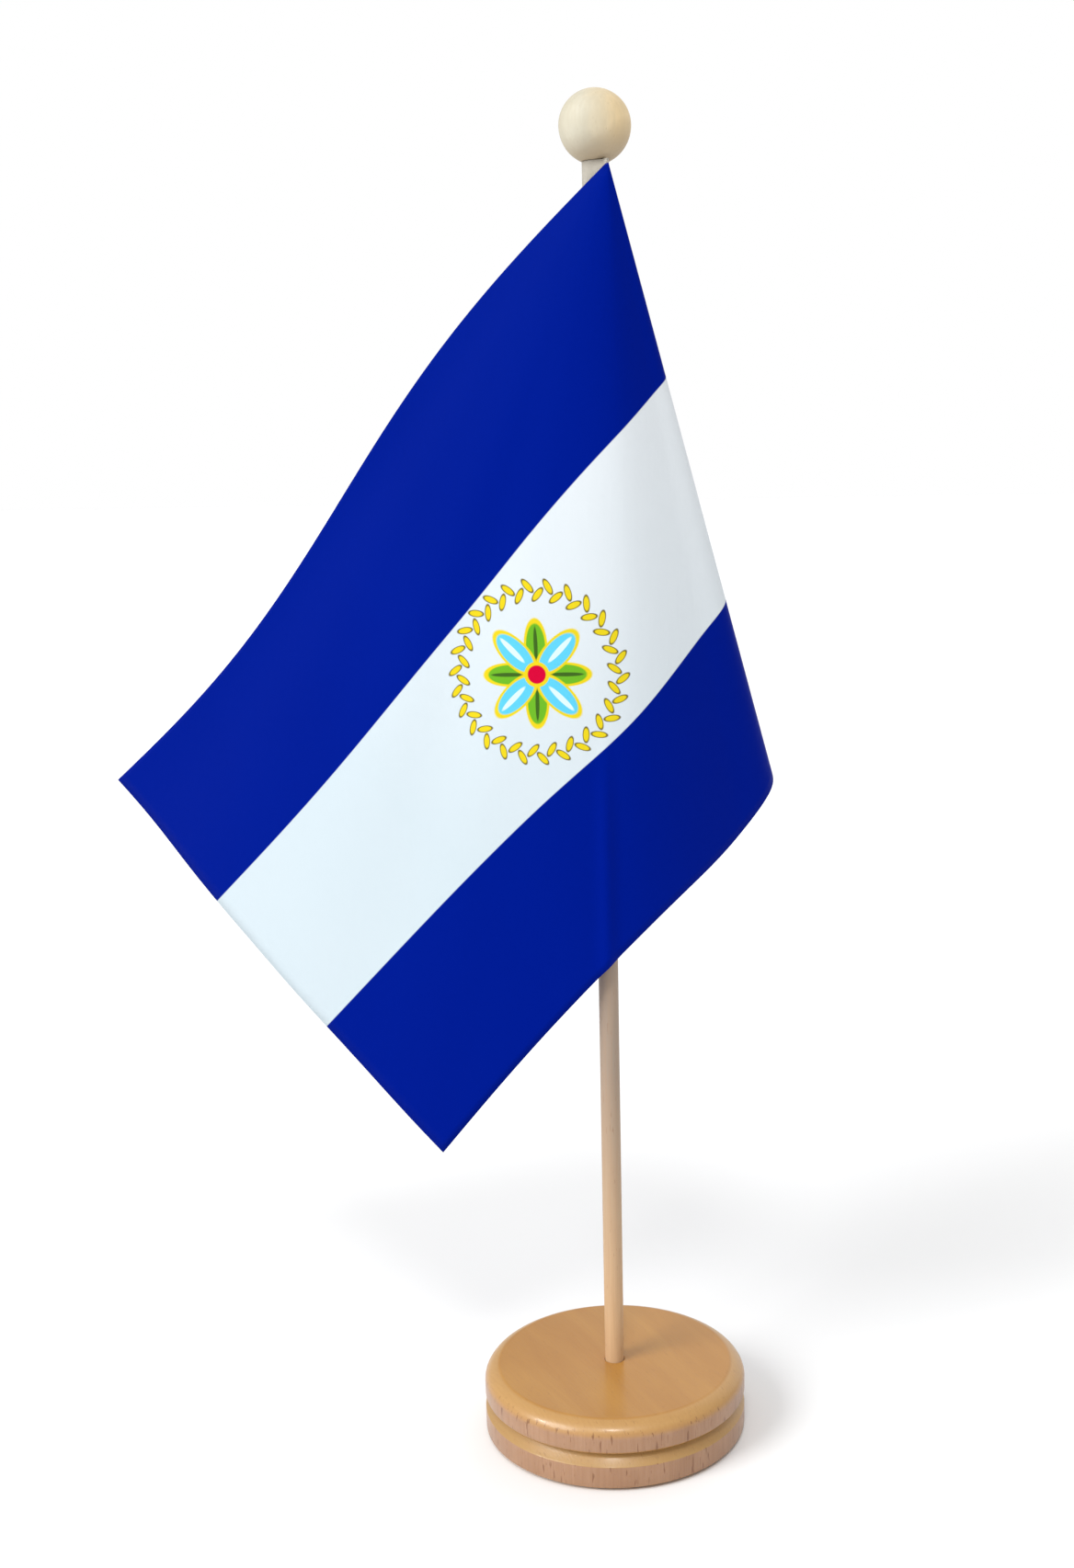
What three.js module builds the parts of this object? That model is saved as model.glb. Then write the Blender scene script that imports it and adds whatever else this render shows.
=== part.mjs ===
// Desk flag stand: turned base, dowel pole, ball finial and a printed 14 x 21 cm flag on a sleeve.
// Millimetres, +Z up, origin on the desk under the pole's axis. The pole's axis is Z, -Y is the front.
import * as THREE from "three";
import { mergeVertices } from "three/addons/utils/BufferGeometryUtils.js";

// Driving dimensions
const gap = 0.3; // clearance between pieces that meet
const feltThickness = 0.7;
const feltRadius = 33;

const baseRadius = 36;
const baseHeight = 18;
const baseBottom = 1; // the felt lifts the wood off the desk
const shoulderRadius = 3; // rounded upper edge
const footChamfer = 0.5;
const grooveLow = 6.3; // the groove's two edges, above the base's bottom
const grooveHigh = 9.7;
const grooveDepth = 2.8;
const grooveFloor = 8.9; // height of the groove's deepest line
const edgeEase = 0.4; // sharp turned edges are sanded back this far
const lipRound = 1; // the upper disc's rounded lower lip
const socketDepth = 14;
const socketEase = 0.3;

const poleRadius = 2.6;
const poleChamfer = 0.4;

const ballRadius = 8.6;
const ballFlatDrop = 8; // from the ball's centre down to its flat underside
const ballBoreDepth = 10;

const sleeveWall = 0.4;
const sleeveTop = 329.4;
const sleeveLength = 142;
const finThickness = 0.7; // the sleeve's sewn edges, which the flag is stitched to
const finSetback = 0.8; // room for the stitched fold between the fin and the flag's hoist edge

const flagHoist = 140;
const flagFly = 210;
const flagThickness = 0.4;
const flagCorner = new THREE.Vector3(2.9, -5.3, 328.2); // top corner at the seam
const cornerTrim = 4; // length trimmed off every rib, where the folds close up

const ringHeight = 2.2;
const ringOuterRadius = 4.1;
const ringEase = 0.5; // rounding of the ring's outer edges

const roundSegments = 72;
const ballSegments = 40;
const poleSegments = 32;

// Worked out from the above
const socketBottom = baseBottom + baseHeight - socketDepth;
const ballCentre = sleeveTop + gap + ballFlatDrop;
const poleBottom = socketBottom + gap;
const poleTop = ballCentre - ballFlatDrop + ballBoreDepth - gap;
const sleeveInnerRadius = poleRadius + gap;
const sleeveOuterRadius = sleeveInnerRadius + sleeveWall;
const sleeveBottom = sleeveTop - sleeveLength;

const finish = {
  beech: { color: 0xc89a62, roughness: 0.4 },
  paleWood: { color: 0xe6d3b1, roughness: 0.6 },
  dowelWood: { color: 0xd9b48c, roughness: 0.55 },
  blueCloth: { color: 0x001e98, roughness: 0.7 },
  offWhiteCloth: { color: 0xe8e3d6, roughness: 0.8 },
  clearRubber: { color: 0xd5d6d2, roughness: 0.35 },
  felt: { color: 0x4a3f35, roughness: 0.95 },
};

const stand = new THREE.Group();

function addPiece(name, geometry, look) {
  const material = new THREE.MeshStandardMaterial({ ...look, metalness: 0 });
  const mesh = new THREE.Mesh(geometry, material);
  mesh.name = name;
  stand.add(mesh);
}

// A turned piece: a profile of [radius, height] points, spun round Z.
function turned(profile, segments) {
  const points = profile.map(([radius, height]) => new THREE.Vector2(radius, height));
  return new THREE.LatheGeometry(points, segments).rotateX(Math.PI / 2);
}

// Points on an arc in a profile, from one angle to the other, in degrees from +radius.
function arcPoints(radius, height, size, fromDegrees, toDegrees, steps) {
  return Array.from({ length: steps + 1 }, (_, i) => {
    const angle = THREE.MathUtils.degToRad(fromDegrees + ((toDegrees - fromDegrees) * i) / steps);
    return [radius + size * Math.cos(angle), height + size * Math.sin(angle)];
  });
}

// Base: two rounded discs in one piece of wood, with a V groove between and a blind socket.
function baseGeometry() {
  const top = baseBottom + baseHeight;
  const socketRadius = poleRadius + gap;
  const lip = arcPoints(baseRadius - lipRound, baseBottom + grooveHigh + lipRound, lipRound, -90, 0, 3);
  const shoulder = arcPoints(baseRadius - shoulderRadius, top - shoulderRadius, shoulderRadius, 0, 90, 6);
  return turned(
    [
      [0, baseBottom],
      [baseRadius - footChamfer, baseBottom],
      [baseRadius, baseBottom + footChamfer],
      [baseRadius, baseBottom + grooveLow - edgeEase],
      [baseRadius - edgeEase, baseBottom + grooveLow],
      [baseRadius - grooveDepth, baseBottom + grooveFloor],
      ...lip,
      ...shoulder,
      [socketRadius + socketEase, top],
      [socketRadius, top - socketEase],
      [socketRadius, socketBottom],
      [0, socketBottom],
    ],
    roundSegments,
  );
}

// Ball: a sphere with a small flat and a blind bore underneath.
function ballGeometry() {
  const boreRadius = poleRadius + gap;
  const flat = ballCentre - ballFlatDrop;
  const flatAngle = THREE.MathUtils.radToDeg(Math.asin(-ballFlatDrop / ballRadius));
  const skin = arcPoints(0, ballCentre, ballRadius, flatAngle, 90, 20);
  return turned(
    [[0, flat + ballBoreDepth], [boreRadius, flat + ballBoreDepth], [boreRadius, flat], ...skin],
    ballSegments,
  );
}

function poleGeometry() {
  return turned(
    [
      [0, poleBottom],
      [poleRadius - poleChamfer, poleBottom],
      [poleRadius, poleBottom + poleChamfer],
      [poleRadius, poleTop - poleChamfer],
      [poleRadius - poleChamfer, poleTop],
      [0, poleTop],
    ],
    poleSegments,
  );
}

// Sleeve: a cloth tube round the pole, whose two sewn edges stand out as a fin towards the flag.
function sleeveGeometry() {
  const seam = Math.atan2(flagCorner.y, flagCorner.x);
  const finReach = Math.hypot(flagCorner.x, flagCorner.y) - finSetback;
  const halfFin = finThickness / 2;
  const root = Math.asin(halfFin / sleeveOuterRadius);
  const outline = new THREE.Shape();
  outline.absarc(0, 0, sleeveOuterRadius, seam + root, seam - root + 2 * Math.PI, false);
  const along = new THREE.Vector2(Math.cos(seam), Math.sin(seam));
  const across = new THREE.Vector2(-along.y, along.x);
  for (const side of [-1, 1]) {
    const tip = along.clone().multiplyScalar(finReach).addScaledVector(across, side * halfFin);
    outline.lineTo(tip.x, tip.y);
  }
  outline.closePath();
  const bore = new THREE.Path();
  bore.absarc(0, 0, sleeveInnerRadius, 0, 2 * Math.PI, true);
  outline.holes.push(bore);
  const geometry = new THREE.ExtrudeGeometry(outline, {
    depth: sleeveLength,
    bevelEnabled: false,
    curveSegments: poleSegments,
  });
  return geometry.translate(0, 0, sleeveBottom);
}

function ringGeometry() {
  const innerRadius = poleRadius + gap;
  const top = sleeveBottom - gap;
  const bottom = top - ringHeight;
  return turned(
    [
      [innerRadius, bottom],
      [ringOuterRadius - ringEase, bottom],
      [ringOuterRadius, bottom + ringEase],
      [ringOuterRadius, top - ringEase],
      [ringOuterRadius - ringEase, top],
      [innerRadius, top],
      [innerRadius, bottom],
    ],
    poleSegments,
  );
}

// The flag hangs from its top corner as a fan of straight ribs, so that the cloth bends but hardly
// stretches. Each rib is the level part [x, y] of a unit vector, from the seam, straight down,
// round the fold at the right and across the front of the pole to the top edge and a little past.
const flagRibs = [
  [0, 0],
  [0.096, 0.098],
  [0.135, 0.212],
  [0.228, 0.247],
  [0.264, 0.141],
  [0.191, 0.086],
  [0.02, 0.003],
  [-0.199, 0.01],
  [-0.459, 0.097],
  [-0.766, 0.283],
];
const fan = new THREE.CatmullRomCurve3(
  flagRibs.map(([x, y]) => new THREE.Vector3(x, y, -Math.sqrt(1 - x * x - y * y))),
);
fan.arcLengthDivisions = 2000;
const fanSpan = fan.getLength(); // radians, because the ribs are unit vectors

// How far the cut edges wander in the cloth's own plane: millimetres along the fly and the hoist.
const topWave = -4.6;
const bottomSag = -3.3;
const bottomWave = 1.8;
const flySag = -1.3;

// The middle of the cloth at a place on the flat flag: along the fly and down the hoist.
function clothPoint(along, down) {
  const u = along / flagFly;
  const v = down / flagHoist;
  const shiftAlong = u ** 2 * flySag * Math.sin(Math.PI * v);
  const shiftDown =
    (1 - v) ** 2 * topWave * Math.sin(2 * Math.PI * u) +
    v ** 2 * (bottomSag * Math.sin(Math.PI * u) + bottomWave * Math.sin(2 * Math.PI * u));
  const x = along + shiftAlong;
  const y = down + shiftDown;
  const place = THREE.MathUtils.clamp(Math.atan2(x, y) / fanSpan, 0, 1);
  const rib = fan.getPointAt(place).normalize();
  return rib.multiplyScalar(Math.hypot(x, y)).add(flagCorner);
}

// The cloth's unit normal, from its slopes.
function clothNormal(along, down) {
  const step = 0.5;
  const alongSlope = clothPoint(along + step, down).sub(clothPoint(Math.max(along - step, 0), down));
  const downSlope = clothPoint(along, down + step).sub(clothPoint(along, down - step));
  return alongSlope.cross(downSlope).normalize();
}

// Flag: a thin closed sheet on a grid of ribs, with more ribs where the cloth folds over.
function flagGeometry() {
  const farCorner = Math.atan2(flagFly, flagHoist);
  const foldEnd = 0.8; // radians from the seam to where the cloth lies in front of the pole
  const stretches = [
    [0, foldEnd, 26],
    [foldEnd, farCorner, 6],
    [farCorner, Math.PI / 2, 14],
  ];
  const angles = stretches.flatMap(([from, to, count]) =>
    Array.from({ length: count }, (_, i) => from + ((to - from) * i) / count),
  );
  angles.push(Math.PI / 2);
  const rows = 14;
  const faces = [[], []]; // front and back layers of points
  for (const angle of angles) {
    const reach = angle < farCorner ? flagHoist / Math.cos(angle) : flagFly / Math.sin(angle);
    for (let row = 0; row <= rows; row++) {
      const distance = cornerTrim + ((reach - cornerTrim) * row) / rows;
      const along = distance * Math.sin(angle);
      const down = distance * Math.cos(angle);
      const middle = clothPoint(along, down);
      const normal = clothNormal(along, down);
      faces[0].push(middle.clone().addScaledVector(normal, -flagThickness / 2));
      faces[1].push(middle.clone().addScaledVector(normal, flagThickness / 2));
    }
  }
  return sheetSolid(faces, angles.length, rows + 1);
}

// Closes two layers of a grid of points into one solid.
function sheetSolid([front, back], columns, rows) {
  const positions = [];
  const quad = (a, b, c, d) => {
    for (const point of [a, b, c, a, c, d]) positions.push(point.x, point.y, point.z);
  };
  const at = (column, row) => column * rows + row;
  for (let column = 0; column < columns - 1; column++) {
    for (let row = 0; row < rows - 1; row++) {
      const corners = [at(column, row), at(column, row + 1), at(column + 1, row + 1), at(column + 1, row)];
      quad(...corners.map((i) => front[i]));
      quad(...corners.reverse().map((i) => back[i]));
    }
  }
  const wall = (i, j) => quad(front[j], back[j], back[i], front[i]);
  for (let row = 0; row < rows - 1; row++) {
    wall(at(0, row + 1), at(0, row));
    wall(at(columns - 1, row), at(columns - 1, row + 1));
  }
  for (let column = 0; column < columns - 1; column++) {
    wall(at(column, 0), at(column + 1, 0));
    wall(at(column + 1, rows - 1), at(column, rows - 1));
  }
  const geometry = new THREE.BufferGeometry();
  geometry.setAttribute("position", new THREE.Float32BufferAttribute(positions, 3));
  const merged = mergeVertices(geometry, 1e-4);
  merged.computeVertexNormals();
  return merged;
}

function feltGeometry() {
  return new THREE.CylinderGeometry(feltRadius, feltRadius, feltThickness, roundSegments)
    .rotateX(Math.PI / 2)
    .translate(0, 0, feltThickness / 2);
}

addPiece("base_felt", feltGeometry(), finish.felt);
addPiece("base_disc", baseGeometry(), finish.beech);
addPiece("pole", poleGeometry(), finish.dowelWood);
addPiece("stop_ring", ringGeometry(), finish.clearRubber);
addPiece("hoist_sleeve", sleeveGeometry(), finish.offWhiteCloth);
addPiece("flag_cloth", flagGeometry(), finish.blueCloth);
addPiece("ball_finial", ballGeometry(), finish.paleWood);

export default stand;
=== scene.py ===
import math

import bmesh
import bpy
import numpy as np
from mathutils import Matrix, Vector


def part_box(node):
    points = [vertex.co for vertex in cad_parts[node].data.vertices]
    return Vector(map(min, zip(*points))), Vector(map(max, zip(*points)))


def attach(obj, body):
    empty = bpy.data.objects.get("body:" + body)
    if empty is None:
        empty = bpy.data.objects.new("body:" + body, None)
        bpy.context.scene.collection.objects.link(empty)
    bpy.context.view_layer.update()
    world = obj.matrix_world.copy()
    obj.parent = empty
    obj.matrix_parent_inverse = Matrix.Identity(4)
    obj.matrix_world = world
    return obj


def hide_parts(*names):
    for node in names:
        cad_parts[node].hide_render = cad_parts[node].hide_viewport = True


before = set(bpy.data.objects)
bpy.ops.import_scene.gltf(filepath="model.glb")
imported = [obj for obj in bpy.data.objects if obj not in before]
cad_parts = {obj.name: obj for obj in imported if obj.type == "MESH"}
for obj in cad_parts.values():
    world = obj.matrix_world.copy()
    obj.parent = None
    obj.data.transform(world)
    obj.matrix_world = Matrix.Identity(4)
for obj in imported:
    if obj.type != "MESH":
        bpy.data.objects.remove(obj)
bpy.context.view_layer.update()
mm = 0.001


def sRgb(r, g, b):
    # a screen colour, 0 to 255, as the linear colour the shaders want
    def linear(c):
        c /= 255
        return c / 12.92 if c <= 0.04045 else ((c + 0.055) / 1.055) ** 2.4
    return (linear(r), linear(g), linear(b), 1)


def arc(centreRadius, centreHeight, size, fromDegrees, toDegrees, steps):
    # (radius, height) points along part of a circle
    points = []
    for i in range(steps + 1):
        angle = math.radians(fromDegrees + (toDegrees - fromDegrees) * i / steps)
        points.append((centreRadius + size * math.cos(angle), centreHeight + size * math.sin(angle)))
    return points


def objectFrom(bm, name, material, sharpDegrees=35):
    # smooth shading, but with creases sharper than the given angle kept
    limit = math.radians(sharpDegrees)
    for face in bm.faces:
        face.smooth = True
    for edge in bm.edges:
        if len(edge.link_faces) == 2 and edge.calc_face_angle(0) > limit:
            edge.smooth = False
    mesh = bpy.data.meshes.new(name)
    bm.to_mesh(mesh)
    bm.free()
    piece = bpy.data.objects.new(name, mesh)
    bpy.context.scene.collection.objects.link(piece)
    mesh.materials.append(material)
    return piece


def turned(name, profile, segments, material, closed=False):
    # spins (radius, height) points round the pole's axis
    bm = bmesh.new()
    verts = [bm.verts.new((radius, 0, height)) for radius, height in profile]
    edges = [bm.edges.new(pair) for pair in zip(verts, verts[1:])]
    if closed:
        edges.append(bm.edges.new((verts[-1], verts[0])))
    bmesh.ops.spin(bm, geom=verts + edges, cent=(0, 0, 0), axis=(0, 0, 1), angle=2 * math.pi,
                   steps=segments, use_merge=True)
    bmesh.ops.remove_doubles(bm, verts=bm.verts, dist=1e-6)
    bmesh.ops.recalc_face_normals(bm, faces=bm.faces)
    return objectFrom(bm, name, material)


def addThickness(piece, thickness):
    # half of a sheet's thickness to each side
    shell = piece.modifiers.new("thickness", "SOLIDIFY")
    shell.thickness = thickness * mm
    shell.offset = 0


def newMaterial(name, roughness, **fixed):
    material = bpy.data.materials.new(name)
    material.use_nodes = True
    shader = material.node_tree.nodes["Principled BSDF"]
    shader.inputs["Roughness"].default_value = roughness
    for socket, value in fixed.items():
        shader.inputs[socket.replace("_", " ")].default_value = value
    return material, material.node_tree, shader


def put(tree, kind, inputs=None, **settings):
    # a node whose inputs are plain values or other nodes' outputs
    node = tree.nodes.new(kind)
    for key, value in settings.items():
        setattr(node, key, value)
    for key, value in (inputs or {}).items():
        if isinstance(value, bpy.types.NodeSocket):
            tree.links.new(value, node.inputs[key])
        else:
            node.inputs[key].default_value = value
    return node


def calc(tree, operation, a, b=0.0, c=0.0):
    return put(tree, "ShaderNodeMath", {0: a, 1: b, 2: c}, operation=operation).outputs[0]


def plus(tree, a, b):
    return calc(tree, "ADD", a, b)


def times(tree, a, b):
    return calc(tree, "MULTIPLY", a, b)


def step(tree, value, low, high, toLow=0.0, toHigh=1.0):
    # a straight ramp from low to high, held flat outside
    return put(tree, "ShaderNodeMapRange", {"Value": value, "From Min": low, "From Max": high,
                                            "To Min": toLow, "To Max": toHigh}).outputs["Result"]


def between(tree, value, rise, fall):
    # 1 from the end of the rise to the start of the fall, and 0 outside both
    return times(tree, step(tree, value, *rise), step(tree, value, *fall, 1, 0))


def blendColour(tree, factor, first, second):
    node = put(tree, "ShaderNodeMix", data_type="RGBA")
    # a colour blend has its factor at 0, and its two colours at 6 and 7
    for place, value in ((0, factor), (6, first), (7, second)):
        if isinstance(value, bpy.types.NodeSocket):
            tree.links.new(value, node.inputs[place])
        else:
            node.inputs[place].default_value = value
    return node.outputs[2]


def placeIn(tree, scale=(1, 1, 1), turn=0.0, move=(0, 0, 0)):
    # object coordinates, turned about Z and moved, then in millimetres times the scale
    source = put(tree, "ShaderNodeTexCoord").outputs["Object"]
    turnedPlace = put(tree, "ShaderNodeMapping", {"Vector": source, "Rotation": (0, 0, turn),
                                                  "Location": move}).outputs[0]
    return put(tree, "ShaderNodeMapping", {"Vector": turnedPlace,
                                           "Scale": [s / mm for s in scale]}).outputs[0]


def splitXyz(tree, vector):
    return put(tree, "ShaderNodeSeparateXYZ", {0: vector}).outputs


def noise(tree, place, scale=1.0, detail=3.0, roughness=0.55, distortion=0.0):
    return put(tree, "ShaderNodeTexNoise", {"Vector": place, "Scale": scale, "Detail": detail,
                                            "Roughness": roughness,
                                            "Distortion": distortion}).outputs[0]


def bump(tree, shader, height, distance, strength=1.0):
    node = put(tree, "ShaderNodeBump", {"Height": height, "Distance": distance,
                                        "Strength": strength})
    tree.links.new(node.outputs[0], shader.inputs["Normal"])


view = dict(distance=450 * mm, aimHeight=151 * mm, pitch=13.21, roll=-0.925, focal=39.65, sensor=36,
            shift=(-0.0447, 0.0714), nearest=10 * mm)


def makeCamera():
    data = bpy.data.cameras.new("camera")
    data.lens = view["focal"]
    data.sensor_width = view["sensor"]
    data.shift_x, data.shift_y = view["shift"]
    data.clip_start = view["nearest"]
    camera = bpy.data.objects.new("camera", data)
    bpy.context.scene.collection.objects.link(camera)
    pitch, roll = math.radians(view["pitch"]), math.radians(view["roll"])
    forward = Vector((0, math.cos(pitch), -math.sin(pitch)))
    spot = Vector((0, 0, view["aimHeight"])) - forward * view["distance"]
    aim = Matrix.Rotation(math.pi / 2 - pitch, 4, "X") @ Matrix.Rotation(roll, 4, "Z")
    camera.matrix_world = Matrix.Translation(spot) @ aim
    bpy.context.scene.camera = camera


# what the turned woods share: how each pattern is made, where it starts and is full, and its relief
grain = dict(bands=dict(detail=3, roughness=0.5, distortion=0.6), bandSpan=(0.3, 0.7),
             fibres=dict(detail=4, roughness=0.65), fibreSpan=(0.35, 0.65), fibreRelief=0.7,
             flecks=dict(detail=1.5, roughness=0.5), fleckShift=(0.013, 0.007, 0.021),
             fleckEdge=0.035, fleckRelief=-0.3,
             rays=dict(detail=2, roughness=0.5, distortion=0.15), rayEdge=0.05,
             streaks=dict(detail=3, roughness=0.6), streakSpan=(0.42, 0.68))


def woodMaterial(name, look):
    # faint growth bands, fine fibres and short dark flecks that follow the grain
    material, tree, shader = newMaterial(name, look["roughness"], **look["fixed"])
    turn = math.radians(look.get("grainTurn", 0))
    bands = noise(tree, placeIn(tree, look["bandScale"], turn), **grain["bands"])
    fibres = noise(tree, placeIn(tree, look["fibreScale"], turn), **grain["fibres"])
    flecks = noise(tree, placeIn(tree, look["fleckScale"], turn, grain["fleckShift"]),
                   **grain["flecks"])
    fleckFrom = look["fleckFrom"]
    fleckCover = step(tree, flecks, fleckFrom, fleckFrom + grain["fleckEdge"], 0, look["fleckDepth"])
    bandShare = step(tree, bands, *grain["bandSpan"])
    colour = blendColour(tree, bandShare, look["dark"], look["light"])
    height = splitXyz(tree, placeIn(tree))[2]
    if "side" in look:
        # the upright side is greyer than the top, with longer marks that stand upright
        upwards = splitXyz(tree, put(tree, "ShaderNodeTexCoord").outputs["Normal"])[2]
        level = step(tree, calc(tree, "ABSOLUTE", upwards), *look["topTilt"])
        sideColour = blendColour(tree, bandShare, look["side"], look["sideLight"])
        colour = blendColour(tree, level, sideColour, colour)
        streaks = noise(tree, placeIn(tree, look["streakScale"], turn), **grain["streaks"])
        streakCover = times(tree, step(tree, streaks, *grain["streakSpan"], 0, look["streakDepth"]),
                            step(tree, upwards, *look["streakTilt"], 1, 0))
        colour = blendColour(tree, streakCover, colour, look["streak"])
        rays = noise(tree, placeIn(tree, look["rayScale"], turn), **grain["rays"])
        rayFrom = look["rayFrom"]
        rayCover = step(tree, rays, rayFrom, rayFrom + grain["rayEdge"], 0, look["rayDepth"])
        onSide = step(tree, upwards, *look["rayTilt"], 1, look["rayOnTop"])
        fleckCover = calc(tree, "MAXIMUM", times(tree, rayCover, onSide), fleckCover)
    if "shoulder" in look:
        # painted light: the rounded shoulder is painted a little lighter than the flat top, where the
        # highlights fall
        shoulderPaintedLight = between(tree, height, look["shoulderFrom"], look["shoulderTo"])
        colour = blendColour(tree, shoulderPaintedLight, colour, look["shoulder"])
    if "groove" in look:
        # the cut groove is paler than the side
        inGroove = between(tree, height, look["grooveFrom"], look["grooveTo"])
        colour = blendColour(tree, inGroove, colour, look["groove"])
    for turnTo, towards, drift, span in look.get("shades", []):
        # another tone towards one side of the piece, with a soft uneven edge; the pole's and the
        # ball's darker tones are painted shade
        along = put(tree, "ShaderNodeVectorMath", {0: placeIn(tree), 1: towards},
                    operation="DOT_PRODUCT").outputs["Value"]
        place = calc(tree, "MULTIPLY_ADD", bands, drift, along)
        colour = blendColour(tree, step(tree, place, *span), colour, turnTo)
    fibreCover = step(tree, fibres, *grain["fibreSpan"], 0, look["fibreDepth"])
    colour = blendColour(tree, fibreCover, colour, look["fibre"])
    colour = blendColour(tree, fleckCover, colour, look["fleck"])
    tree.links.new(colour, shader.inputs["Base Color"])
    relief = plus(tree, times(tree, fibres, grain["fibreRelief"]),
                  times(tree, fleckCover, grain["fleckRelief"]))
    bump(tree, shader, relief, look["relief"])
    return material


base = dict(foot=0.5, grooveLow=6.3, grooveHigh=9.7, grooveDepth=2.8, grooveFloor=8.9, ease=0.4,
            lip=1.0, edgeSteps=4, lipSteps=8,
            # the groove's rounded inner corner: out from its depth and up from its floor
            grooveCorner=[(0.15, -0.12), (0, 0.05), (0.2, 0.16)],
            shoulderIn=6.0, shoulderDown=4.6, shoulderEnd=73, shoulderSteps=16,
            creaseRings=(0.12, 0.5), topRings=(0.8, 0.6, 0.4, 0.2),
            # the hole's rounded rim: out from its wall and down from the top
            rim=[(0.42, 0), (0.3, 0), (0.08, 0.09), (0, 0.3)], socket=2.66, socketDepth=14,
            segments=224,
            look=dict(roughness=0.36, grainTurn=62, bandScale=(0.02, 0.11, 0.05),
                      fibreScale=(0.12, 1.7, 1.0), fleckScale=(0.3, 2.6, 0.5),
                      dark=sRgb(173, 120, 52), light=sRgb(185, 134, 64),
                      side=sRgb(157, 118, 90), sideLight=sRgb(172, 134, 106), topTilt=(0.2, 0.7),
                      fibre=sRgb(168, 120, 70), fibreDepth=0.2,
                      fleck=sRgb(122, 80, 52), fleckFrom=0.69, fleckDepth=0.3, relief=0.00008,
                      rayScale=(1.15, 1.15, 0.15), rayFrom=0.63, rayDepth=0.75,
                      rayTilt=(0.3, 0.75), rayOnTop=0.1,
                      streakScale=(1.5, 1.5, 0.05), streakDepth=0.3, streak=sRgb(138, 98, 70),
                      streakTilt=(0.82, 0.96),
                      groove=sRgb(180, 143, 90), grooveFrom=(6.9, 7.1), grooveTo=(10.1, 10.4),
                      # painted light: the shoulder's lighter colour, and the heights where it starts
                      # and is full
                      shoulder=sRgb(190, 147, 90), shoulderFrom=(14.9, 17.2),
                      shoulderTo=(18.72, 18.95),
                      fixed=dict(Coat_Weight=0.22, Coat_Roughness=0.17, Specular_IOR_Level=0.35)))


def makeBase():
    low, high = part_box("base_disc")
    radius, bottom, top = high[0] / mm, low[2] / mm, high[2] / mm
    b = base
    profile = [(0, bottom), (radius - b["foot"], bottom)]
    profile += arc(radius - b["foot"], bottom + b["foot"], b["foot"], -90, 0, b["edgeSteps"])[1:]
    profile += arc(radius - b["ease"], bottom + b["grooveLow"] - b["ease"], b["ease"], 0, 60,
                   b["edgeSteps"])
    profile += [(radius - b["grooveDepth"] + out, bottom + b["grooveFloor"] + up)
                for out, up in b["grooveCorner"]]
    profile += arc(radius - b["lip"], bottom + b["grooveHigh"] + b["lip"], b["lip"], -80, 0,
                   b["lipSteps"])
    # the shoulder is part of an ellipse, and meets the flat top at a slight crease
    rounding = arc(0, 0, 1, 0, b["shoulderEnd"], b["shoulderSteps"])
    last = rounding[-1][1]
    profile += [(radius - b["shoulderIn"] * (1 - out), top - b["shoulderDown"] * (last - up))
                for out, up in rounding]
    crease = profile[-1][0]
    profile += [(crease - inwards, top) for inwards in b["creaseRings"]]
    profile += [(radius * share, top) for share in b["topRings"]]
    # the rim starts with a flat ring, so that the top shades flat right up to it
    profile += [(b["socket"] + out, top - down) for out, down in b["rim"]]
    profile += [(b["socket"], top - b["socketDepth"]), (0, top - b["socketDepth"])]
    profile = [(r * mm, h * mm) for r, h in profile]
    piece = turned("turned_base", profile, b["segments"], woodMaterial("base_beech", b["look"]))
    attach(piece, "base")
    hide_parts("base_disc")


felt = dict(edge=0.2, segments=160, dark=sRgb(70, 58, 48), light=sRgb(104, 90, 76),
            fuzz=dict(scale=1.6, detail=5, roughness=0.7), relief=0.0004)


def makeFelt():
    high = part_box("base_felt")[1]
    radius, top, edge = high[0], high[2], felt["edge"] * mm
    profile = [(0, 0), (radius * 0.5, 0), (radius - edge, 0), (radius, edge), (radius, top - edge),
               (radius - edge, top), (0, top)]
    material, tree, shader = newMaterial("felt", roughness=0.95, Sheen_Weight=0.5,
                                         Sheen_Roughness=0.6)
    fuzz = noise(tree, placeIn(tree), **felt["fuzz"])
    tree.links.new(blendColour(tree, fuzz, felt["dark"], felt["light"]), shader.inputs["Base Color"])
    bump(tree, shader, fuzz, felt["relief"])
    piece = turned("felt_disc", profile, felt["segments"], material)
    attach(piece, "base")
    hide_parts("base_felt")


pole = dict(chamfer=0.4, rings=12, segments=72,
            look=dict(roughness=0.55, bandScale=(0.25, 0.25, 0.008), fibreScale=(2.4, 2.4, 0.05),
                      fleckScale=(2.6, 2.6, 0.22), dark=sRgb(205, 168, 127),
                      light=sRgb(214, 181, 142), fibre=sRgb(176, 138, 104), fibreDepth=0.3,
                      fleck=sRgb(142, 104, 76), fleckFrom=0.69, fleckDepth=0.45, relief=0.00006,
                      # each shade: colour, direction, how far its edge wanders, start and end in mm
                      # painted shade: the pole is painted darker towards the top, where the flag
                      # shades it
                      shades=[(sRgb(158, 142, 127), (0, 0, 1), 30, (45, 118))],
                      fixed=dict(Specular_IOR_Level=0.3)))


def makePole():
    low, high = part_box("pole")
    radius, chamfer, rings = high[0], pole["chamfer"] * mm, pole["rings"]
    straight = high[2] - low[2] - 2 * chamfer
    profile = [(0, low[2]), (radius - chamfer, low[2])]
    profile += [(radius, low[2] + chamfer + straight * i / rings) for i in range(rings + 1)]
    profile += [(radius - chamfer, high[2]), (0, high[2])]
    piece = turned("dowel", profile, pole["segments"], woodMaterial("dowel_beech", pole["look"]))
    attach(piece, "pole")
    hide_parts("pole")


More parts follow.
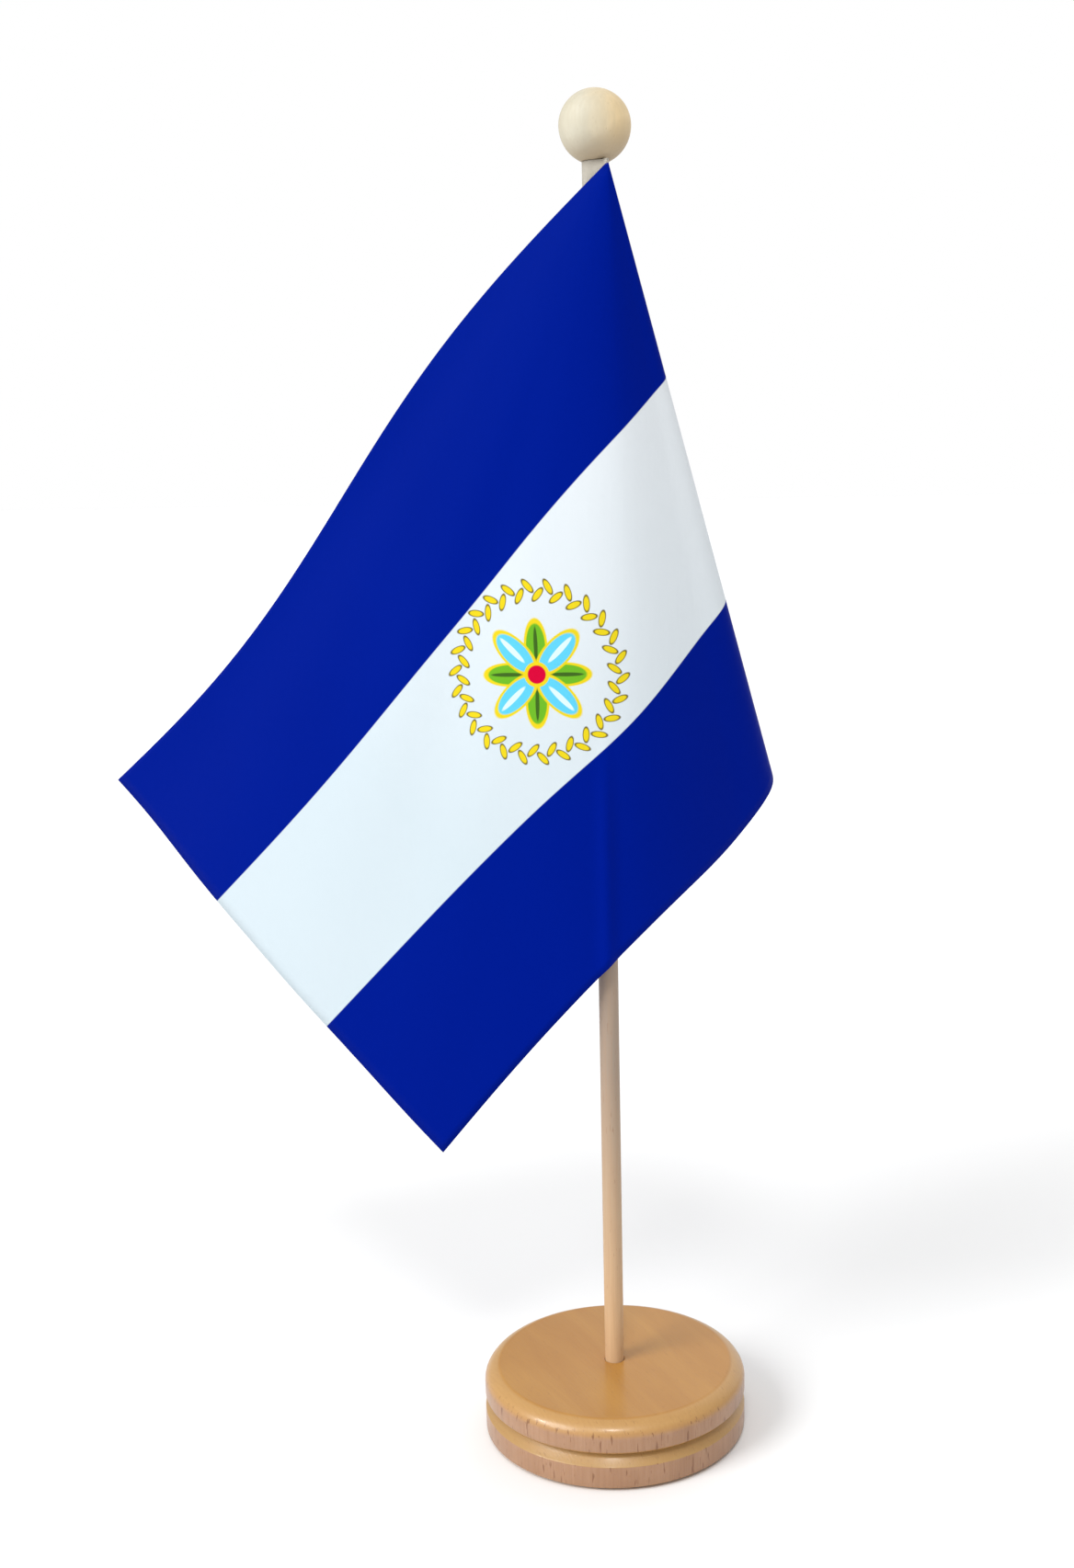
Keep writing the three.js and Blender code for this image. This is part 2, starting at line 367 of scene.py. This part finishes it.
ball = dict(squash=0.95, bore=2.75, boreDepth=10, boreEase=0.15, flatDrop=8.0, skinSteps=56,
            segments=128,
            look=dict(roughness=0.55, bandScale=(0.12, 0.12, 0.04), fibreScale=(1.3, 1.3, 0.18),
                      fleckScale=(2.2, 2.2, 0.5), dark=sRgb(196, 190, 170),
                      light=sRgb(209, 203, 184), fibre=sRgb(188, 172, 142), fibreDepth=0.2,
                      fleck=sRgb(160, 136, 104), fleckFrom=0.7, fleckDepth=0.3, relief=0.00005,
                      shades=[(sRgb(232, 207, 162), (1, 0, 0), 7, (0.5, 9)),
                              # painted shade: the ball is painted darker towards its lower right
                              (sRgb(156, 136, 110), (0.55, 0, -0.835), 4, (-277.5, -271)),
                              # painted shade: the ball is painted darker towards the bottom
                              (sRgb(170, 152, 126), (0, 0, 1), 5, (337.5, 330.5))],
                      fixed=dict(Specular_IOR_Level=0.2)))


def makeBall():
    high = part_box("ball_finial")[1]
    radius = high[0]
    centre = high[2] - radius
    drop, bore, ease = ball["flatDrop"] * mm, ball["bore"] * mm, ball["boreEase"] * mm
    flat = centre - drop
    roof = flat + ball["boreDepth"] * mm
    start = -math.degrees(math.asin(drop / radius))
    profile = [(0, roof), (bore, roof), (bore, flat + ease), (bore + ease, flat)]
    # the upper half was turned slightly flatter than a true sphere
    profile += [(r, centre + (h - centre) * (ball["squash"] if h > centre else 1))
                for r, h in arc(0, centre, radius, start, 90, ball["skinSteps"])]
    profile[-1] = (0, profile[-1][1])
    piece = turned("turned_ball", profile, ball["segments"], woodMaterial("ball_wood", ball["look"]))
    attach(piece, "ball")
    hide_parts("ball_finial")


ring = dict(inner=2.65, sectionSteps=24, segments=72, dark=sRgb(214, 216, 212),
            light=sRgb(232, 233, 228), haze=dict(scale=0.9, detail=3, roughness=0.5),
            relief=0.00005)


def makeRing():
    low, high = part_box("stop_ring")
    inner = ring["inner"] * mm
    halfHeight = (high[2] - low[2]) / 2
    halfWidth = (high[0] - inner) / 2
    # a plain oval section
    profile = [(inner + halfWidth + halfWidth * x, low[2] + halfHeight + halfHeight * z)
               for x, z in arc(0, 0, 1, 0, 360, ring["sectionSteps"])[:-1]]
    material, tree, shader = newMaterial("clear_rubber", roughness=0.3, Subsurface_Weight=0.3,
                                         Subsurface_Radius=(0.002, 0.002, 0.002),
                                         Specular_IOR_Level=0.45)
    haze = noise(tree, placeIn(tree), **ring["haze"])
    tree.links.new(blendColour(tree, haze, ring["dark"], ring["light"]), shader.inputs["Base Color"])
    bump(tree, shader, haze, ring["relief"])
    piece = turned("snug_ring", profile, ring["segments"], material, closed=True)
    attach(piece, "ring")
    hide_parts("stop_ring")


flag = dict(hoist=140, fly=210, corner=(2.9, -5.3, 328.8), trim=0.3, thickness=0.24,
            # ribs of the fan that the cloth hangs in: the level part of each unit vector
            ribs=[(0, 0), (0.096, 0.098), (0.135, 0.212), (0.228, 0.247), (0.264, 0.141),
                  (0.191, 0.086), (0.02, 0.003), (-0.199, 0.01), (-0.459, 0.097), (-0.770, 0.283)],
            stepsPerRib=60,
            # how far the cut edges wander in the cloth's own plane
            topWave=-4.0, bottomSag=-3.3, bottomWave=1.8, flySag=-1.3, flyLift=-1.6,
            foldDip=3.0, foldDipPlace=0.44, foldDipWidth=0.11,
            columns=330, rows=64, earlyShare=0.72, crowding=1.05,
            # each ripple: how fast it runs round the fan, its lean with reach, start and share
            ripples=[(15.5, 0, 0.6, 0.7), (27, 0.006, 0, 0.3)], rippleSize=1.1,
            rippleFrom=(0.95, 1.25), rippleReach=(20, 160),
            # the faint ridge over the pole: from which angle of the fan, and up to which height
            ridge=1.0, ridgeWidth=1.9, ridgeFrom=(0.62, 0.75), ridgeEnd=(165, 200),
            look=dict(blue=sRgb(0, 24, 135), blueDeep=sRgb(0, 21, 127), white=sRgb(226, 229, 232),
                      # painted shade: a darker, cooler white across the fly, where it starts and how
                      # deep it goes
                      whitePaintedShade=sRgb(195, 209, 216), paintedShadeSpan=(10, 150), paintedShadeDepth=0.8,
                      mottleScale=(0.02, 0.02, 0.012), mottleDepth=0.2,
                      # the white band's edges: distance down at the hoist and at the fly
                      upperEdge=(46.0, 46.6), lowerEdge=(97.1, 93.3), edgeSoft=0.12,
                      thread=0.3, threadLean=1.7, warpShare=0.6, weftShare=0.4, weaveHeight=0.012,
                      slubScale=(0.5, 0.5, 0.12), slubHeight=0.1,
                      # the wreath and the rosette in the band's middle
                      centre=(99.4, 70.0), gold=sRgb(222, 200, 30), goldDark=sRgb(104, 92, 30),
                      leaves=26, leafRing=20.6, leafRow=1.05, leafLong=1.8, leafWide=0.72,
                      leafTilt=38, leafOutline=1.22, leafFill=0.95,
                      # a petal and its vein: distance out, half length and half width
                      petals=4, petalFill=0.9, petalSoft=0.04,
                      rosette=[dict(turn=0.0, petal=(7.0, 6.2, 2.7), outline=1.12,
                                    colour=sRgb(104, 172, 38), vein=(7.4, 4.4, 0.5),
                                    veinColour=sRgb(62, 98, 30)),
                               dict(turn=0.5, petal=(7.6, 6.8, 3.1), outline=1.1,
                                    colour=sRgb(92, 196, 228), vein=(8.6, 4.2, 0.7),
                                    veinColour=sRgb(206, 230, 238))],
                      eye=3.2, eyeFill=2.3, red=sRgb(200, 8, 52)))


def fanTable():
    # a centripetal Catmull-Rom curve through the ribs, with its length along it
    ribs = np.array([(x, y, -math.sqrt(1 - x * x - y * y)) for x, y in flag["ribs"]])
    ends = np.vstack([2 * ribs[0] - ribs[1], ribs, 2 * ribs[-1] - ribs[-2]])
    t = np.linspace(0, 1, flag["stepsPerRib"], endpoint=False)[:, None]
    curve = []
    for p0, p1, p2, p3 in zip(ends, ends[1:], ends[2:], ends[3:]):
        d0, d1, d2 = [np.linalg.norm(b - a) ** 0.5 for a, b in ((p0, p1), (p1, p2), (p2, p3))]
        t1 = ((p1 - p0) / d0 - (p2 - p0) / (d0 + d1) + (p2 - p1) / d1) * d1
        t2 = ((p2 - p1) / d1 - (p3 - p1) / (d1 + d2) + (p3 - p2) / d2) * d1
        square = 3 * (p2 - p1) - 2 * t1 - t2
        cube = 2 * (p1 - p2) + t1 + t2
        curve.append(p1 + t1 * t + square * t ** 2 + cube * t ** 3)
    curve = np.vstack(curve + [ribs[-1:]])
    lengths = np.linalg.norm(np.diff(curve, axis=0), axis=1)
    return np.concatenate([[0], np.cumsum(lengths)]), curve


def smoothStep(low, high, values):
    t = np.clip((values - low) / (high - low), 0, 1)
    return t * t * (3 - 2 * t)


def clothMiddle(along, down):
    # where a place on the flat flag hangs, in millimetres
    f = flag
    u, v = along / f["fly"], down / f["hoist"]
    x = along + u ** 2 * f["flySag"] * np.sin(np.pi * v)
    y = down + (1 - v) ** 2 * f["topWave"] * np.sin(2 * np.pi * u)
    y = y + v ** 2 * (f["bottomSag"] * np.sin(np.pi * u) + f["bottomWave"] * np.sin(2 * np.pi * u))
    y = y + u ** 2 * v * f["flyLift"]
    y = y + v ** 2 * f["foldDip"] * np.exp(-((u - f["foldDipPlace"]) / f["foldDipWidth"]) ** 2)
    reach = np.hypot(x, y)
    place = np.clip(np.arctan2(x, y), 0, None)
    # the fan's curve keeps close to a unit sphere: its length is the cloth's angle at the corner
    lengths, curve = fanTable()
    rib = np.stack([np.interp(place, lengths, curve[:, k]) for k in range(3)], -1)
    rib /= np.linalg.norm(rib, axis=-1, keepdims=True)
    return np.array(f["corner"]) + rib * reach[..., None], place, reach


def flagGrid():
    hoist, fly = flag["hoist"], flag["fly"]
    farCorner = math.atan2(fly, hoist)
    # more ribs near the hoist and round the fold, and one exactly at the far corner
    earlyCount = int(flag["columns"] * flag["earlyShare"])
    early = farCorner * np.linspace(0, 1, earlyCount) ** flag["crowding"]
    late = np.linspace(farCorner, math.pi / 2, flag["columns"] - earlyCount + 1)[1:]
    angles = np.concatenate([early, late])[:, None]
    toFly = fly / np.maximum(np.sin(angles), 1e-6)
    reach = np.where(angles <= farCorner, hoist / np.cos(angles), toFly)
    rows = np.linspace(0, 1, flag["rows"])[None, :]
    distance = flag["trim"] + (reach - flag["trim"]) * rows
    return distance * np.sin(angles), distance * np.cos(angles)


def hangingCloth(along, down):
    points, place, reach = clothMiddle(along, down)
    acrossRibs = np.gradient(points, axis=0)
    alongRibs = np.gradient(points, axis=1)
    normal = np.cross(acrossRibs, alongRibs)
    normal /= np.linalg.norm(normal, axis=-1, keepdims=True) + 1e-12
    # slow ripples that grow away from the corner, and only to the left of the pole
    free = smoothStep(*flag["rippleFrom"], place) * smoothStep(*flag["rippleReach"], reach)
    ripple = sum(share * np.sin(place * turns + reach * lean + start)
                 for turns, lean, start, share in flag["ripples"])
    points = points + normal * (flag["rippleSize"] * free * ripple)[..., None]
    # the cloth lies over the bare pole under the sleeve and shows it faintly
    front = smoothStep(*flag["ridgeFrom"], place)
    lowPart = 1 - smoothStep(*flag["ridgeEnd"], points[..., 2])
    overPole = np.exp(-(points[..., 0] / flag["ridgeWidth"]) ** 2)
    points[..., 1] -= flag["ridge"] * front * lowPart * overPole
    return points


def makeFlag():
    along, down = flagGrid()
    points = hangingCloth(along, down) * mm
    columns, rows = along.shape
    bm = bmesh.new()
    # a flat grid with one line for each rib, moved to where the cloth hangs
    bmesh.ops.create_grid(bm, x_segments=rows - 1, y_segments=columns - 1, size=0.5)
    uvLayer = bm.loops.layers.uv.new("cloth")
    for vert in bm.verts:
        spot = (round((vert.co.y + 0.5) * (columns - 1)), round((vert.co.x + 0.5) * (rows - 1)))
        vert.co = points[spot]
        for loop in vert.link_loops:
            loop[uvLayer].uv = (along[spot] / flag["fly"], down[spot] / flag["hoist"])
    piece = objectFrom(bm, "flag_sheet", flagMaterial(), 180)
    addThickness(piece, flag["thickness"])
    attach(piece, "flag")
    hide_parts("flag_cloth")
    return piece


def flagMaterial():
    look = flag["look"]
    material, tree, shader = newMaterial("printed_satin", roughness=0.55, Sheen_Weight=0.01,
                                         Sheen_Roughness=0.4, Sheen_Tint=sRgb(120, 170, 255),
                                         Specular_IOR_Level=0.05,
                                         Specular_Tint=sRgb(60, 140, 255))
    flat = splitXyz(tree, put(tree, "ShaderNodeUVMap", uv_map="cloth").outputs[0])
    along = times(tree, flat[0], flag["fly"])
    down = times(tree, flat[1], flag["hoist"])

    def belowEdge(ends):
        # 1 below an edge of the band, which runs straight from the hoist to the fly
        line = calc(tree, "MULTIPLY_ADD", along, (ends[1] - ends[0]) / flag["fly"], ends[0])
        return step(tree, calc(tree, "SUBTRACT", down, line), -look["edgeSoft"], look["edgeSoft"])

    mottle = noise(tree, placeIn(tree, look["mottleScale"]), detail=2, roughness=0.5)
    blue = blendColour(tree, mottle, look["blue"], look["blueDeep"])
    # painted shade: the white is painted darker and cooler away from the hoist, where the cloth turns
    # from the light, with random mottle on top
    paintedShadeAndMottle = plus(tree, step(tree, along, *look["paintedShadeSpan"], 0, look["paintedShadeDepth"]),
                     times(tree, mottle, look["mottleDepth"]))
    white = blendColour(tree, paintedShadeAndMottle, look["white"], look["whitePaintedShade"])
    colour = blendColour(tree, belowEdge(look["upperEdge"]), blue, white)
    colour = blendColour(tree, belowEdge(look["lowerEdge"]), colour, blue)
    colour = drawMotif(tree, colour, along, down)
    tree.links.new(colour, shader.inputs["Base Color"])
    # fine threads down the cloth, and slightly leaning ones across it
    turnPerThread = 2 * math.pi / look["thread"]
    lean = times(tree, along, 2 * math.pi / look["threadLean"])
    warp = calc(tree, "SINE", times(tree, along, turnPerThread))
    weft = calc(tree, "SINE", plus(tree, times(tree, down, turnPerThread), lean))
    weave = plus(tree, times(tree, warp, look["warpShare"]), times(tree, weft, look["weftShare"]))
    slub = noise(tree, placeIn(tree, look["slubScale"]), detail=3, roughness=0.6)
    height = plus(tree, times(tree, weave, look["weaveHeight"]), times(tree, slub, look["slubHeight"]))
    bump(tree, shader, height, 1 * mm, strength=0.5)
    return material


def drawMotif(tree, colour, along, down):
    # a plain wreath of small leaves round an eight-petal rosette
    look = flag["look"]
    x = calc(tree, "SUBTRACT", along, look["centre"][0])
    y = calc(tree, "SUBTRACT", down, look["centre"][1])
    radius = calc(tree, "SQRT", plus(tree, times(tree, x, x), times(tree, y, y)))
    angle = calc(tree, "ARCTAN2", y, x)

    def paint(under, distance, limit, paintColour, soft=0.1):
        cover = step(tree, distance, limit - soft, limit + soft, 1, 0)
        return blendColour(tree, cover, under, paintColour)

    def petal(count, turn, out, long, wide, tilt=0.0):
        # distance from the middle of ellipses set round the motif: 1 on their edges
        places = plus(tree, times(tree, angle, count / (2 * math.pi)), turn)
        swing = times(tree, calc(tree, "SUBTRACT", calc(tree, "FRACT", places), 0.5),
                      2 * math.pi / count)
        outwards = calc(tree, "SUBTRACT", times(tree, radius, calc(tree, "COSINE", swing)), out)
        sideways = times(tree, radius, calc(tree, "SINE", swing))
        c, s = math.cos(math.radians(tilt)), math.sin(math.radians(tilt))
        lengthwise = plus(tree, times(tree, outwards, c / long), times(tree, sideways, s / long))
        crosswise = calc(tree, "SUBTRACT", times(tree, sideways, c / wide),
                         times(tree, outwards, s / wide))
        return calc(tree, "SQRT", plus(tree, times(tree, lengthwise, lengthwise),
                                       times(tree, crosswise, crosswise)))

    # two rows of leaves, one outside the ring and one inside, that lean opposite ways
    for side, turn in ((1, 0.0), (-1, 0.5)):
        leaf = petal(look["leaves"], turn, look["leafRing"] + side * look["leafRow"],
                     look["leafLong"], look["leafWide"], side * look["leafTilt"])
        colour = paint(colour, leaf, look["leafOutline"], look["goldDark"])
        colour = paint(colour, leaf, look["leafFill"], look["gold"])
    for row in look["rosette"]:
        shape = petal(look["petals"], row["turn"], *row["petal"])
        colour = paint(colour, shape, row["outline"], look["gold"], look["petalSoft"])
        colour = paint(colour, shape, look["petalFill"], row["colour"], look["petalSoft"])
        colour = paint(colour, petal(look["petals"], row["turn"], *row["vein"]), 1, row["veinColour"])
    colour = paint(colour, radius, look["eye"], look["gold"])
    return paint(colour, radius, look["eyeFill"], look["red"])


sleeve = dict(wall=0.28, inner=2.95, flangeGap=0.06, flangeFrom=4.35, flangeEnd=5.95, rise=0.2,
              wrapSteps=56, flangeSteps=5, rows=60,
              # soft puckers in the cloth: size, radians from end to end, and start
              puckers=[(0.0018, 44, 0), (0.0014, 97, 1)],
              dark=sRgb(175, 169, 156), light=sRgb(190, 184, 172), thread=sRgb(154, 147, 135),
              threadDepth=0.12, threadsRound=46, threadPitch=0.45, slubScale=(0.6, 0.6, 0.2),
              weaveShare=0.5, relief=0.00006)


def seamAngle():
    # the direction from the pole to the flag's top corner
    return math.atan2(flag["corner"][1], flag["corner"][0])


def sleeveOutline():
    # a strip that wraps the pole, leaves it on both sides and meets in a narrow sewn flange
    s = sleeve
    seam = seamAngle()
    outwards = np.array([math.cos(seam), math.sin(seam)])
    across = np.array([-outwards[1], outwards[0]])
    radius = s["inner"] + s["wall"] / 2
    offset = (s["flangeGap"] + s["wall"]) / 2
    leave = math.acos(radius / s["flangeFrom"])
    wrap = np.linspace(seam + leave, seam + 2 * math.pi - leave, s["wrapSteps"])
    flange = np.linspace(s["flangeEnd"], s["flangeFrom"], s["flangeSteps"])
    points = [outwards * reach + across * offset for reach in flange]
    points += [radius * np.array([math.cos(a), math.sin(a)]) for a in wrap]
    points += [outwards * reach - across * offset for reach in flange[::-1]]
    return np.array(points)


def makeSleeve():
    low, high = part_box("hoist_sleeve")
    length = high[2] + sleeve["rise"] * mm - low[2]
    outline = sleeveOutline()
    bm = bmesh.new()
    verts = [bm.verts.new((x * mm, y * mm, low[2])) for x, y in outline]
    edges = [bm.edges.new(pair) for pair in zip(verts, verts[1:])]
    for i in range(sleeve["rows"]):
        made = bmesh.ops.extrude_edge_only(bm, edges=edges)["geom"]
        edges = [part for part in made if isinstance(part, bmesh.types.BMEdge)]
        raised = [part for part in made if isinstance(part, bmesh.types.BMVert)]
        bmesh.ops.translate(bm, verts=raised, vec=(0, 0, length / sleeve["rows"]))
    for vert in bm.verts:
        share = (vert.co.z - low[2]) / length
        pucker = 1 + sum(size * math.sin(share * often + start)
                         for size, often, start in sleeve["puckers"])
        vert.co.x *= pucker
        vert.co.y *= pucker
    bmesh.ops.recalc_face_normals(bm, faces=bm.faces)
    piece = objectFrom(bm, "sleeve_strip", sleeveMaterial(), 60)
    addThickness(piece, sleeve["wall"])
    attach(piece, "flag")
    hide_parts("hoist_sleeve")
    width = np.linalg.norm(np.diff(outline, axis=0), axis=1).sum() * mm
    return piece, (float(width), length)


def sleeveMaterial():
    s = sleeve
    material, tree, shader = newMaterial("sleeve_weave", roughness=0.8, Sheen_Weight=0.2,
                                         Specular_IOR_Level=0.2)
    x, y, z = splitXyz(tree, placeIn(tree))
    warp = calc(tree, "SINE", times(tree, calc(tree, "ARCTAN2", y, x), s["threadsRound"]))
    weft = calc(tree, "SINE", times(tree, z, 2 * math.pi / s["threadPitch"]))
    weave = times(tree, warp, weft)
    slub = noise(tree, placeIn(tree, s["slubScale"]), detail=4, roughness=0.6)
    tint = blendColour(tree, slub, s["dark"], s["light"])
    threadCover = step(tree, weave, -1, 1, 0, s["threadDepth"])
    tree.links.new(blendColour(tree, threadCover, tint, s["thread"]), shader.inputs["Base Color"])
    bump(tree, shader, plus(tree, times(tree, weave, s["weaveShare"]), slub), s["relief"])
    return material


seam = dict(every=2.6, long=1.7, thick=0.34, proud=0.02, dark=sRgb(224, 220, 210),
            light=sRgb(244, 241, 234), twistScale=(2, 2, 5), relief=0.00005)


def makeStitches():
    low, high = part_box("hoist_sleeve")
    outwards = Vector((math.cos(seamAngle()), math.sin(seamAngle()), 0))
    across = Vector((-outwards.y, outwards.x, 0))
    count = int((high[2] - low[2]) / mm / seam["every"])
    # along the middle of the flange, on both of its faces
    face = sleeve["flangeGap"] / 2 + sleeve["wall"] + seam["proud"]
    middle = (sleeve["flangeFrom"] + sleeve["flangeEnd"]) / 2
    size = Matrix.Diagonal((seam["thick"], seam["thick"], seam["long"], 1))
    bm = bmesh.new()
    for i in range(count):
        height = low[2] + (i + 0.5) * seam["every"] * mm
        for side in (-1, 1):
            place = (outwards * middle + across * side * face) * mm + Vector((0, 0, height))
            bmesh.ops.create_icosphere(bm, subdivisions=1, radius=0.5 * mm,
                                       matrix=Matrix.Translation(place) @ size)
    material, tree, shader = newMaterial("seam_thread", roughness=0.6, Sheen_Weight=0.2)
    twist = noise(tree, placeIn(tree, seam["twistScale"]), detail=2, roughness=0.5)
    tree.links.new(blendColour(tree, twist, seam["dark"], seam["light"]), shader.inputs["Base Color"])
    bump(tree, shader, twist, seam["relief"])
    piece = objectFrom(bm, "seam_stitches", material)
    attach(piece, "flag")
    return piece


studio = dict(ambient=0.55, backdrop=1.0, floorSize=40, floorColour=(0.95, 0.95, 0.95, 1),
              suns=[dict(name="key", fromSide=(-0.68, -0.45, 0.58), strength=2.05, spread=30),
                    dict(name="front", fromSide=(-0.04, -0.575, 0.81), strength=0.7, spread=14),
                    dict(name="back", fromSide=(0.45, 0.75, 0.5), strength=0.5, spread=60)],
              # small bright panes that only show as highlights
              panes=[dict(name="leftPane", fromSide=(-0.79, -0.255, 0.56), strength=0.8, spread=9),
                     dict(name="frontPane", fromSide=(-0.04, -0.575, 0.81), strength=0.5, spread=5)])


def makeStudio():
    scene = bpy.context.scene
    scene.view_settings.view_transform = "Standard"
    world = bpy.data.worlds.new("studio")
    scene.world = world
    world.use_nodes = True
    tree = world.node_tree
    white = (1, 1, 1, 1)
    softLight = tree.nodes["Background"]
    softLight.inputs["Strength"].default_value = studio["ambient"]
    softLight.inputs["Color"].default_value = white
    # the wall behind looks plain white and gives only the soft light set above
    wall = put(tree, "ShaderNodeBackground", {"Color": white, "Strength": studio["backdrop"]})
    seen = put(tree, "ShaderNodeLightPath").outputs["Is Camera Ray"]
    both = put(tree, "ShaderNodeMixShader", {0: seen, 1: softLight.outputs[0], 2: wall.outputs[0]})
    tree.links.new(both.outputs[0], tree.nodes["World Output"].inputs["Surface"])
    bm = bmesh.new()
    bmesh.ops.create_grid(bm, x_segments=1, y_segments=1, size=studio["floorSize"])
    material, tree, shader = newMaterial("floor", roughness=0.9, Specular_IOR_Level=0.0)
    shader.inputs["Base Color"].default_value = studio["floorColour"]
    objectFrom(bm, "floor", material)
    for sun in studio["suns"] + studio["panes"]:
        data = bpy.data.lights.new(sun["name"], "SUN")
        data.energy = sun["strength"]
        data.angle = math.radians(sun["spread"])
        lamp = bpy.data.objects.new(sun["name"], data)
        scene.collection.objects.link(lamp)
        lamp.rotation_euler = Vector(sun["fromSide"]).to_track_quat("Z", "Y").to_euler()
        lamp.visible_diffuse = sun in studio["suns"]


makeCamera()
print("camera set")
makeStudio()
print("studio lit")
makeFelt()
makeBase()
print("base turned")
makePole()
makeBall()
makeRing()
print("pole, ball and ring made")
stitches = makeStitches()
sleevePiece, sleeveFlat = makeSleeve()
flagPiece = makeFlag()
print("sleeve sewn and flag hung")
